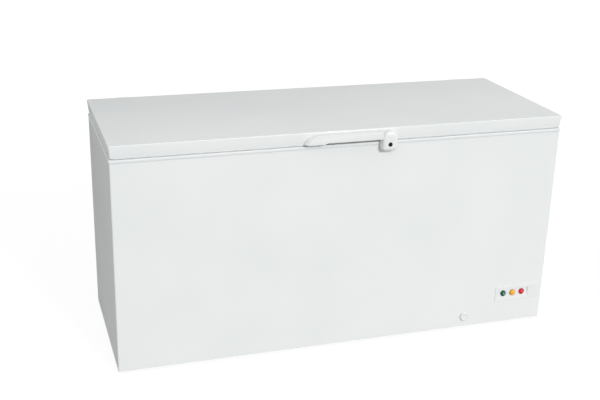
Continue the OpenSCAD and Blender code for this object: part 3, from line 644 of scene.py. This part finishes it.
# Section of the seal: (in from the main part's outer edge, up from its foot), in millimetres
SEAL_SECTION = [
    (0.6, 1.3), (0.3, 0.7), (0.8, 0.2), (1.8, 0), (9.6, 0), (10.8, 0.3), (11.4, 1.2), (10.6, 2.0), (11.8, 2.5),
    (14.5, 2.1), (18.6, 0.7), (19.6, 0.9), (19.8, 1.6), (16.5, 3.6), (12.4, 4.6), (11.4, 5.7), (3.2, 5.7),
    (2.6, 5.0), (0.6, 4.5), (-2.6, 3.7), (-5.2, 2.9), (-5.6, 2.3), (-5.2, 1.8), (-4.2, 1.7), (-1.4, 2.3),
    (0.8, 2.4),
]


def build_gasket():
    low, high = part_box("lid_gasket")
    rings = [
        rounded_outline(low.x + d * MM, high.x - d * MM, low.y + d * MM, high.y - d * MM,
                        max(0.016 - d * MM, 0.004), low.z + h * MM, 8)
        for d, h in SEAL_SECTION
    ]
    bm = bmesh.new()
    loop_loft(bm, rings)
    piece("lid_gasket_shown", bm, "gasket_rubber", "lid", ["lid_gasket"], angle=60)


build_lid_skin()
build_lid_foam()
build_lid_liner()
build_gasket()


# ---------- handle and lock ----------

grip0, grip1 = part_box("handle")
house0, house1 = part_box("lock_housing")
barrel0, barrel1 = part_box("lock_cylinder")
strike0, strike1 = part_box("lock_strike")
BACK_Y = lid0.y + 0.0052
END_ARC = 0.055
STEPS = 18
POCKET_X0 = grip0.x + 0.079
POCKET_X1 = grip1.x - 0.010
LIP_Z = LID_LOW + 0.008
# Side section of the handle and of the lock's boss: (in from the edge, share of the way out)
GRIP_SECTION = [(0, 0), (0.8, 0.16), (9.2, 0.86), (10.4, 0.93), (11.6, 0.975), (13, 1.0)]
BOSS_SECTION = [
    (0, 0), (0.8, 0.35), (1.6, 0.58), (2.7, 0.72), (4.2, 0.82),
    (6.2, 0.89), (9.0, 0.945), (12.5, 0.98), (17, 0.997), (21, 1.0),
]


def grip_ring(inset, y):
    """Front outline of the handle. Its rounded end draws in further than its top does."""
    cx, cz = grip0.x + END_ARC, grip1.z - END_ARC
    wide, high = END_ARC - inset, END_ARC - inset * 0.25
    low = grip0.z + inset * 0.12
    start = math.pi - math.asin(min(1, (low - cz) / high))
    angles = [start + (math.pi / 2 - start) * i / STEPS for i in range(STEPS + 1)]
    points = [Vector((cx + wide * math.cos(a), y, cz + high * math.sin(a))) for a in angles]
    points += [Vector((x, y, cz + high)) for x in (0, grip1.x + 0.004)]
    below = ((grip1.x + 0.004, LIP_Z), (POCKET_X0 + 0.004, LIP_Z), (POCKET_X0 - 0.004, low))
    points += [Vector((x, y, z)) for x, z in below]
    return points


def build_handle():
    out = lid0.y - grip0.y
    rings = [grip_ring(0, BACK_Y)]
    rings += [grip_ring(d * MM, lid0.y - out * share) for d, share in GRIP_SECTION]
    grip = bmesh.new()
    loft(grip, rings)
    pocket = solid(rounded_box, (POCKET_X0, grip0.y + 0.0036, LID_LOW - 0.04),
                   (POCKET_X1, BACK_Y + 0.02, grip1.z - 0.0045), 0.006, 4)
    grip = carved(grip, [pocket])
    soften(grip, 0.0009, 55, 3)
    piece("handle_shown", grip, "white_plastic", "lid", ["handle"], angle=40)


def boss_ring(inset, y):
    """Front outline of the lock's boss: an arch above and round corners below."""
    half = (house1.x - house0.x) / 2
    cx = house0.x + half
    cz = house1.z - half
    r = max(0.016 - inset, 0.002)
    x0, x1, z0 = house0.x + inset, house1.x - inset, house0.z + inset
    flat = arc(cx, cz, half - inset, 0, 180, 30)
    flat += arc(x0 + r, z0 + r, r, 180, 270, 8)
    flat += arc(x1 - r, z0 + r, r, 270, 360, 8)
    return [Vector((x, y, z)) for x, z in flat]


def build_lock_housing():
    out = lid0.y - house0.y
    rings = [boss_ring(0, BACK_Y)]
    rings += [boss_ring(d * MM, lid0.y - out * share) for d, share in BOSS_SECTION]
    boss = bmesh.new()
    loft(boss, rings)
    wall = 0.0055
    hollow = solid(rounded_box, (house0.x + wall, house0.y + 0.0085, house0.z + wall),
                   (house1.x - wall, BACK_Y + 0.01, LID_LOW - 0.0005), 0.003, 3)
    notch = solid(rounded_box, (strike0.x - 0.004, strike0.y - 0.001, house0.z - 0.01),
                  (strike1.x + 0.004, BACK_Y + 0.01, house0.z + 0.02), 0.001, 2)
    back = solid(rounded_box, (house0.x - 0.01, lid0.y - 0.0015, house0.z - 0.01),
                 (house1.x + 0.01, BACK_Y + 0.01, LID_LOW), 0.0001, 1)
    middle = (barrel0 + barrel1) / 2
    radius = (barrel1.x - barrel0.x) / 2 + 0.0002
    bore = solid(turned, [(radius, -0.03), (radius, 0.03)], middle, (0, 1, 0), 48)
    boss = carved(boss, [hollow, notch, back, bore])
    soften(boss, 0.0005, 55, 2)
    piece("lock_housing_shown", boss, "white_plastic", "lid", ["lock_housing"], angle=40)


build_handle()
build_lock_housing()
finer("lock_cylinder", 0.0006, 3)
finer("lock_cam", 0.0004)
finer("lock_strike", 0.0003)


# ---------- cabinet ----------

def build_top_rim():
    low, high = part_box("top_rim")
    reach = 0.02
    mouth0, mouth1 = corners_near("top_rim", lambda p: low.x + reach < p.x < high.x - reach
                                  and low.y + reach < p.y < high.y - reach and p.z > high.z - 0.001)

    def rect(mouth, inset, z, radius):
        a, b = (mouth0, mouth1) if mouth else (low, high)
        return rounded_outline(a.x + inset, b.x - inset, a.y + inset, b.y - inset, radius, z, 8)

    top, wall = high.z, 0.002
    under = top - 0.0024
    rings = [
        rect(False, wall, low.z, 0.006), rect(False, 0.0003, low.z, 0.008), rect(False, 0, low.z + 0.0004, 0.008),
        rect(False, 0, top - 0.0022, 0.008), rect(False, 0.0003, top - 0.0011, 0.008),
        rect(False, 0.0011, top - 0.0003, 0.007), rect(False, 0.0022, top, 0.006),
        rect(True, -0.005, top, 0.015), rect(True, -0.0025, top - 0.0006, 0.0135),
        rect(True, 0, under, 0.011), rect(True, 0.0003, under, 0.011), rect(False, wall, under, 0.006),
    ]
    bm = bmesh.new()
    loop_loft(bm, rings)
    piece("top_rim_shown", bm, "rim_plastic", "cabinet", ["top_rim"], angle=40)


build_top_rim()
BEND = 0.0018


def outer_corner(edge):
    """True for the cabinet's two upright edges at the front."""
    a, b = edge.verts
    upright = abs(a.co.x - b.co.x) < 1e-5 and abs(a.co.y - b.co.y) < 1e-5
    return upright and a.co.y < lid0.y + 0.004 and abs(a.co.x) > lid1.x - 0.006


finer("outer_wrap", BEND, 5, only=outer_corner)
finer("cabinet_foam", BEND + 0.001, 2, only=outer_corner)
finer("side_grille", 0.0005)
finer("rear_cover", 0.0)
finer("feet", 0.0008)
finer("base_rails", 0.0005)
finer("compressor", 0.0012)
finer("terminal_cover", 0.0015)
finer("cord_gland", 0.0006)
for side in ("left", "right"):
    finer(f"hinge_bracket_{side}", 0.0004)
    finer(f"hinge_leaf_{side}", 0.0004)
    finer(f"hinge_cover_{side}", 0.0009, 3)


# ---------- lamps and button ----------

# Painted highlight at the centre, the lens's own colour in the body, and painted shade at the edge, of each lens
LENS_HIGHLIGHT_BODY_SHADE = {
    "green_lamp": ((0.09, 0.42, 0.28), (0.0, 0.078, 0.043), (0.0, 0.04, 0.022)),
    "super_freeze_button": ((1.0, 0.36, 0.09), (0.95, 0.44, 0.03), (0.50, 0.27, 0.012)),
    "red_lamp": ((0.90, 0.05, 0.075), (0.66, 0.014, 0.028), (0.16, 0.002, 0.008)),
}
PRESS = Vector(JOINTS["super_freeze_press"]["axis"]).normalized()


def lens_frame(node):
    """Centre of a lens's back face, its radius and its stem's length."""
    points = [v.co for v in NODES[node].data.vertices]
    out = -PRESS
    across = Vector((1, 0, 0)).cross(out)
    heights = [p.dot(out) for p in points]
    wide = [p for p in points if p.dot(out) > max(heights) - 0.0065]
    base = max(heights) - 0.008
    cx = (min(p.x for p in wide) + max(p.x for p in wide)) / 2
    ca = (min(p.dot(across) for p in wide) + max(p.dot(across) for p in wide)) / 2
    radius = (max(p.x for p in wide) - min(p.x for p in wide)) / 2
    centre = Vector((cx, 0, 0)) + across * ca + out * base
    return centre, radius, min(heights) - base


def paint_lens_highlight_and_shade(finish, centre, radius, highlight_body_shade):
    """Colour by distance from the lens's own axis: a painted highlight at the centre, the lens's own colour in the
    body, and painted shade towards the edge.
    """
    away = finish.node("ShaderNodeVectorMath", operation="SUBTRACT")
    finish.link(finish.where, away.inputs[0])
    away.inputs[1].default_value = centre
    crossed = finish.node("ShaderNodeVectorMath", operation="CROSS_PRODUCT")
    finish.link(away.outputs["Vector"], crossed.inputs[0])
    crossed.inputs[1].default_value = PRESS
    length = finish.node("ShaderNodeVectorMath", operation="LENGTH")
    finish.link(crossed.outputs["Vector"], length.inputs[0])
    share = finish.node("ShaderNodeMapRange")
    share.inputs["From Max"].default_value = radius
    finish.link(length.outputs["Value"], share.inputs["Value"])
    ramp = finish.node("ShaderNodeValToRGB")
    ramp.color_ramp.interpolation = "EASE"
    # Painted highlight near the axis, the lens's own colour between, painted shade at the rim
    stops = [(0.0, highlight_body_shade[0]), (0.22, highlight_body_shade[0]), (0.5, highlight_body_shade[1]), (0.78, highlight_body_shade[1]), (1.0, highlight_body_shade[2])]
    while len(ramp.color_ramp.elements) < len(stops):
        ramp.color_ramp.elements.new(0.5)
    for element, (position, colour) in zip(ramp.color_ramp.elements, stops):
        element.position, element.color = position, (*colour, 1)
    finish.link(share.outputs["Result"], ramp.inputs["Fac"])
    finish.link(ramp.outputs["Color"], finish.shader.inputs["Base Color"])


def build_lens(node):
    centre, radius, stem = lens_frame(node)
    paint_lens_highlight_and_shade(FINISHES[SLOT_OF[node]], centre, radius, LENS_HIGHLIGHT_BODY_SHADE[node])
    dome = 0.006
    ball = (radius * radius + dome * dome) / (2 * dome)
    profile = [
        (0.0084, stem), (0.0084, 0.0), (radius - 0.0004, 0.0001),
        (radius, 0.0005), (radius, 0.0016), (radius - 0.0005, 0.0021),
    ]
    edge = math.asin((radius - 0.0011) / ball)
    for i in range(13):
        a = edge * (1 - i / 12)
        profile.append((ball * math.sin(a), 0.002 + dome - ball + ball * math.cos(a)))
    bm = bmesh.new()
    turned(bm, profile, centre, -PRESS, 48)
    piece(node + "_shown", bm, SLOT_OF[node], BODY_OF[node], [node], angle=50)


def build_panel():
    """A thin plate on the sheet, with a recess whose floor slopes out to the face at its foot."""
    low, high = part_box("control_panel")
    mouth0, mouth1 = corners_near("control_panel", lambda p: p.y < low.y + 0.0002
                                  and low.x + 0.005 < p.x < high.x - 0.005)
    deep = corners_near("control_panel", lambda p: abs(p.z - mouth1.z) < 0.0002)[1].y
    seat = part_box("outer_wrap")[0].y
    wall = Vector((0.0025, 0, 0.0025))

    def rect(a, b, inset, y, radius):
        flat = rounded_outline(a.x + inset, b.x - inset, a.z + inset, b.z - inset, radius, 0, 4)
        return [Vector((p.x, y, p.y)) for p in flat]

    body = solid(loft, [
        rect(low, high, 0.0008, low.y, 0.0016), rect(low, high, 0.0002, low.y + 0.0002, 0.002),
        rect(low, high, 0, low.y + 0.0008, 0.0022), rect(low, high, 0, seat, 0.0022),
        rect(mouth0 - wall, mouth1 + wall, 0, seat, 0.0012),
        rect(mouth0 - wall, mouth1 + wall, 0, high.y, 0.0012),
    ])
    side = [(low.y - 0.002, mouth1.z), (deep, mouth1.z), (low.y, mouth0.z), (low.y - 0.002, mouth0.z)]
    recess = solid(loft, [[Vector((x, y, z)) for y, z in side] for x in (mouth0.x, mouth1.x)])
    bores = []
    for node in LENS_HIGHLIGHT_BODY_SHADE:
        centre = lens_frame(node)[0]
        bores.append(solid(turned, [(0.0088, -0.02), (0.0088, 0.02)], centre, PRESS, 40))
    shown = carved(body, [recess, *bores])
    piece("control_panel_shown", shown, "white_plastic", "cabinet", ["control_panel"], angle=6)


for lens_node in LENS_HIGHLIGHT_BODY_SHADE:
    build_lens(lens_node)
build_panel()


# ---------- drain ----------

def build_drain_cap():
    low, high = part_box("drain_cap")
    r = (high.x - low.x) / 2
    centre = Vector(((low.x + high.x) / 2, low.y, (low.z + high.z) / 2))
    plug = high.y - low.y
    back = 0.005
    profile = [
        (0.0068, -plug), (0.0070, -plug + 0.001), (0.0070, -back - 0.0001),
        (r - 0.0006, -back), (r, -back + 0.0006), (r, -0.0034),
    ]
    profile += [(r - 0.004 + x, z * 0.8 - 0.0034) for x, z in arc(0, 0, 0.004, 15, 90, 6)]
    profile += [(r - 0.0062, -0.0003), (r - 0.0072, -0.0009), (r - 0.0090, -0.0014), (0.003, -0.0015)]
    bm = bmesh.new()
    turned(bm, profile, centre, (0, -1, 0), 56)
    rounded_box(bm, centre + Vector((-0.0100, 0, -0.0016)), centre + Vector((0.0100, 0.0024, 0.0016)), 0.0012)
    piece("drain_cap_shown", bm, "white_plastic", "drain_cap", ["drain_cap"], angle=40)


def build_drain_stopper():
    low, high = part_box("drain_stopper")
    r = (high.x - low.x) / 2
    centre = Vector(((low.x + high.x) / 2, (low.y + high.y) / 2, low.z))
    flange = high.z - low.z - 0.009
    profile = [
        (0.0060, 0), (0.0068, 0.001), (0.0070, flange - 0.0005),
        (r - 0.001, flange), (r, flange + 0.0008), (r, flange + 0.0020),
        (r - 0.001, flange + 0.0029), (r - 0.004, flange + 0.003), (0.002, flange + 0.0026),
    ]
    bm = bmesh.new()
    turned(bm, profile, centre, (0, 0, 1), 40)
    rounded_box(bm, centre + Vector((-0.005, -0.0012, flange + 0.002)),
                centre + Vector((0.005, 0.0012, high.z - low.z)), 0.0011)
    piece("drain_stopper_shown", bm, "grey_rubber", "drain_stopper", ["drain_stopper"], angle=40)


build_drain_cap()
build_drain_stopper()


# ---------- thermostat knob ----------

def build_knob():
    low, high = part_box("thermostat_knob")
    cy, cz = JOINTS["thermostat_turn"]["pos_m"][1:]
    r = (high.y - low.y) / 2
    face = high.x
    flutes, count = 24, 192

    def ring(radius, x, depth):
        points = []
        for i in range(count):
            a = 2 * math.pi * i / count
            q = radius - depth * (0.5 + 0.5 * math.cos(flutes * a)) ** 2
            points.append(Vector((x, cy + q * math.cos(a), cz + q * math.sin(a))))
        return points

    rings = [
        ring(0.003, low.x, 0), ring(0.003, face - 0.0082, 0),
        ring(r - 0.0006, face - 0.0081, 0.0008), ring(r, face - 0.0075, 0.0010), ring(r, face - 0.0020, 0.0010),
        ring(r - 0.0006, face - 0.0008, 0.0009), ring(r - 0.0018, face - 0.0001, 0.0004),
        ring(r - 0.0035, face - 0.0001, 0), ring(r - 0.0045, face - 0.0008, 0), ring(0.004, face - 0.0011, 0),
    ]
    bm = bmesh.new()
    loft(bm, rings)
    rounded_box(bm, (face - 0.0025, cy - r + 0.003, cz - 0.0012), (face, cy - 0.002, cz + 0.0012), 0.0006)
    piece("thermostat_knob_shown", bm, "white_plastic", "thermostat_dial", ["thermostat_knob"], angle=40)


build_knob()


# ---------- hinge springs and screws ----------

def build_springs():
    pin_y, pin_z = JOINTS["lid_hinge"]["pos_m"][1:]
    wire, coil = 0.00095, 0.0048
    for side in ("left", "right"):
        low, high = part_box(f"hinge_spring_{side}")
        x0, x1 = low.x + wire, high.x - wire
        turns = int((x1 - x0) / (2.15 * wire))
        path = [Vector((x0 + 0.001, pin_y - coil, z)) for z in (low.z, low.z + 0.02, pin_z - 0.006)]
        for i in range(turns * 16 + 1):
            a = math.pi + 2 * math.pi * i / 16
            x = x0 + (x1 - x0) * i / (turns * 16)
            path.append(Vector((x, pin_y + coil * math.cos(a), pin_z - coil * math.sin(a))))
        bm = bmesh.new()
        sweep(bm, path, wire, 8)
        piece(f"hinge_spring_{side}_shown", bm, "zinc_steel", "cabinet", [f"hinge_spring_{side}"], angle=60)


def build_screws(node, out):
    """Round heads with a cross recess, and the shanks behind them. Out is the way the heads face."""
    out = Vector(out)
    heads = bmesh.new()
    bars = {0: bmesh.new(), 90: bmesh.new()}
    turn = out.to_track_quat("Z", "Y").to_matrix().to_4x4()
    for low, high in islands(node):
        centre = (low + high) / 2
        size = high - low
        along = abs(size.dot(out))
        radius = sorted(size)[1] / 2 if along > sorted(size)[1] else sorted(size)[2] / 2
        tip = centre - out * along / 2
        height = radius * 0.5
        shank = radius * 0.52
        profile = [(shank * 0.3, 0), (shank, shank), (shank, along - height), (radius, along - height)]
        for a in map(math.radians, (20, 40, 60, 78)):
            profile.append((radius * math.cos(a), along - height + height * math.sin(a)))
        turned(heads, profile, tip, out, 28)
        slot_at = centre + out * (along / 2 - height * 0.3)
        for spin, bar in bars.items():
            placed = (Matrix.Translation(slot_at) @ turn @ Matrix.Rotation(math.radians(spin + 20), 4, "Z")
                      @ Matrix.Diagonal((radius * 1.1, radius * 0.26, height * 0.9, 1)))
            bmesh.ops.create_cube(bar, size=1, matrix=placed)
    cut = carved(heads, bars.values())
    piece(node + "_shown", cut, SLOT_OF[node], BODY_OF[node], [node], angle=35)


build_springs()
build_screws("rear_cover_screws", (0, 1, 0))
build_screws("bracket_screws", (0, 1, 0))
build_screws("leaf_screws", (0, 1, 0))
build_screws("strike_screws", (0, -1, 0))


# ---------- basket ----------

def build_basket():
    low, high = corners_near("wire_basket", lambda p: p.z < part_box("wire_basket")[0].z + 0.001)
    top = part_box("wire_basket")[1].z
    rim, rod, wire = 0.003, 0.002, 0.0013
    x0, x1, y0, y1, z0 = low.x + rim, high.x - rim, low.y + rim, high.y - rim, low.z + rod + wire
    z1 = top - rim
    bm = bmesh.new()

    def hoop(z, r, grow=0.0):
        sweep(bm, rounded_outline(x0 - grow, x1 + grow, y0 - grow, y1 + grow, 0.02, z, 6), r, 10, closed=True)

    hoop(z1, rim)
    for share in (0.36, 0.68):
        hoop(z0 + (z1 - z0) * share, rod * 0.8, 0.0005)
    hoop(z0, rod)
    nx, ny = 11, 20
    for i in range(nx):
        x = x0 + 0.02 + (x1 - x0 - 0.04) * i / (nx - 1)
        sweep(bm, eased([(x, y0, z1), (x, y0, z0), (x, y1, z0), (x, y1, z1)], 0.012), wire, 8)
    for i in range(ny):
        y = y0 + 0.02 + (y1 - y0 - 0.04) * i / (ny - 1)
        floor_z = z0 - 2 * wire
        sweep(bm, eased([(x0, y, z1), (x0, y, floor_z), (x1, y, floor_z), (x1, y, z1)], 0.012), wire, 8)
    hook_r = 0.0018
    depth = low.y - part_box("wire_basket")[0].y
    points = [v.co for v in NODES["wire_basket"].data.vertices]
    hook_ends = sorted({round(p.x, 4) for p in points if p.y < low.y - 0.005})
    for a, b in zip(hook_ends[::2], hook_ends[1::2]):
        for edge, out in ((y0, -1), (y1, 1)):
            far = edge + out * (depth + rim - hook_r)
            near = edge - out * 0.001
            path = [(a + hook_r, near, z1), (a + hook_r, far, top - 0.002),
                    (b - hook_r, far, top - 0.002), (b - hook_r, near, z1)]
            sweep(bm, eased(path, 0.004), hook_r, 8)
    piece("wire_basket_shown", bm, "basket_wire", "basket", ["wire_basket"], angle=60)


build_basket()


# ---------- floor ----------

FLOOR_HALF = 60
floor_mesh = bpy.data.meshes.new("floor")
floor_mesh.from_pydata(
    [(x * FLOOR_HALF, y * FLOOR_HALF, 0) for x, y in ((-1, -1), (1, -1), (1, 1), (-1, 1))],
    [], [(0, 1, 2, 3)],
)
floor = bpy.data.objects.new("floor", floor_mesh)
bpy.context.scene.collection.objects.link(floor)
floor_finish = Finish("floor", (0.12, 0.12, 0.12), 0.8, Specular_IOR_Level=0.1,
                      Emission_Color=(1, 1, 1, 1), Emission_Strength=0.9)
floor_mesh.materials.append(floor_finish.material)
floor.visible_diffuse = False
floor.visible_glossy = False
